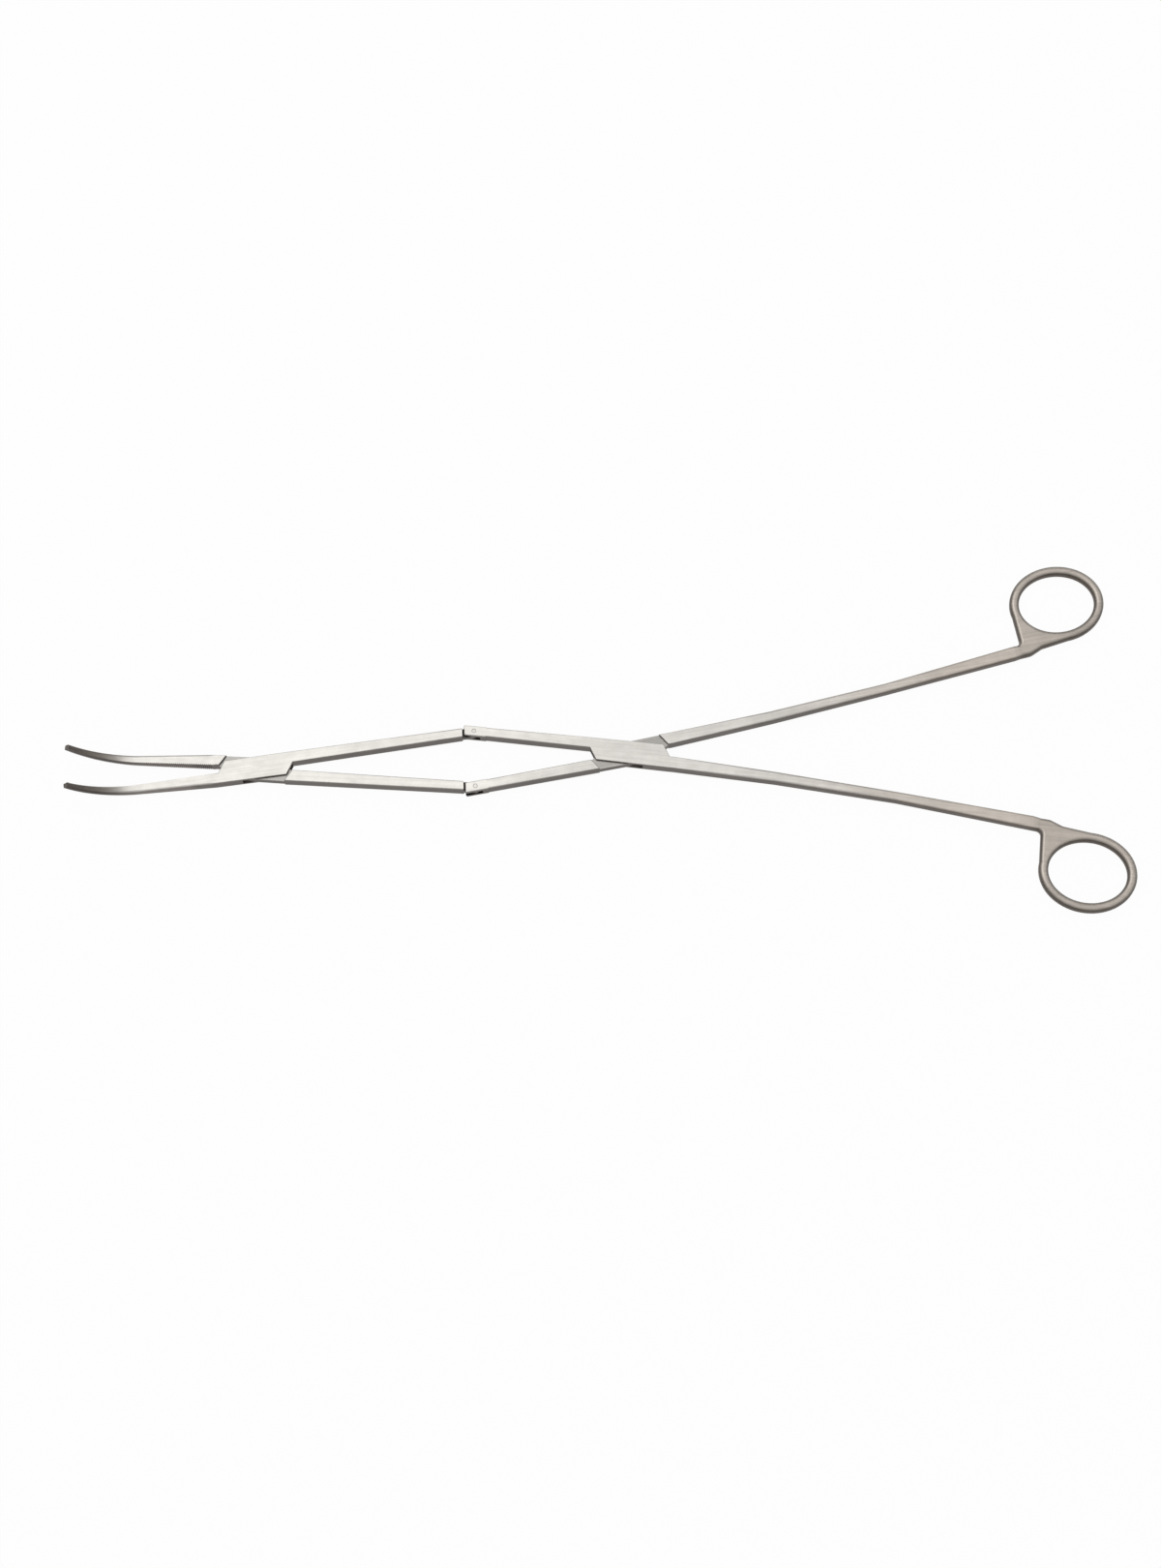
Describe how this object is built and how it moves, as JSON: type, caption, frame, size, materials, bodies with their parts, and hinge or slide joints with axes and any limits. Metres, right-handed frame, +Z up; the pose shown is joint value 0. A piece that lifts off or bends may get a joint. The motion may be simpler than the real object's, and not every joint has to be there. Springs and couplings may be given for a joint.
{
  "type": "surgical clamp",
  "caption": "Long slender double-jointed surgical clamp with finger rings, crossing box locks, elbow hinges and upturned, finely serrated jaws.",
  "frame": {"origin": "on the handle lock's axis, in the plane of the underside that the clamp lies on", "axes": "+X towards the finger rings along the clamp's middle line, +Z up out of the underside, the way the jaws curve; the levers half open"},
  "size_m": [0.3741, 0.1334, 0.0133],
  "materials": {
    "satin_steel": "satin"
  },
  "bodies": {
    "lower_handle": {"lower_handle_lever": "satin_steel", "handle_lock_pin": "satin_steel", "upper_elbow_pin": "satin_steel"},
    "upper_handle": {"upper_handle_lever": "satin_steel", "lower_elbow_pin": "satin_steel"},
    "lower_jaw": {"lower_jaw_lever": "satin_steel", "jaw_lock_pin": "satin_steel"},
    "upper_jaw": {"upper_jaw_lever": "satin_steel"}
  },
  "joints": [
    {"name": "handle_lock", "type": "hinge", "parent": "lower_handle", "child": "upper_handle", "pos_m": [0, 0, 0.0022], "axis": [0, 0, 1], "range_deg": [-15.7, 11]},
    {"name": "upper_elbow", "type": "hinge", "parent": "lower_handle", "child": "lower_jaw", "pos_m": [-0.0552, 0.01058, 0.0022], "axis": [0, 0, 1], "range_deg": [-13.5, 9.5]},
    {"name": "jaw_lock", "type": "hinge", "parent": "lower_jaw", "child": "upper_jaw", "pos_m": [-0.13312, 0, 0.0022], "axis": [0, 0, 1], "range_deg": [-7.9, 11.2]}
  ],
  "couplings": [
    {"joint": "upper_elbow", "follows": "handle_lock", "ratio": 0.8545},
    {"joint": "jaw_lock", "follows": "handle_lock", "ratio": -0.709}
  ]
}
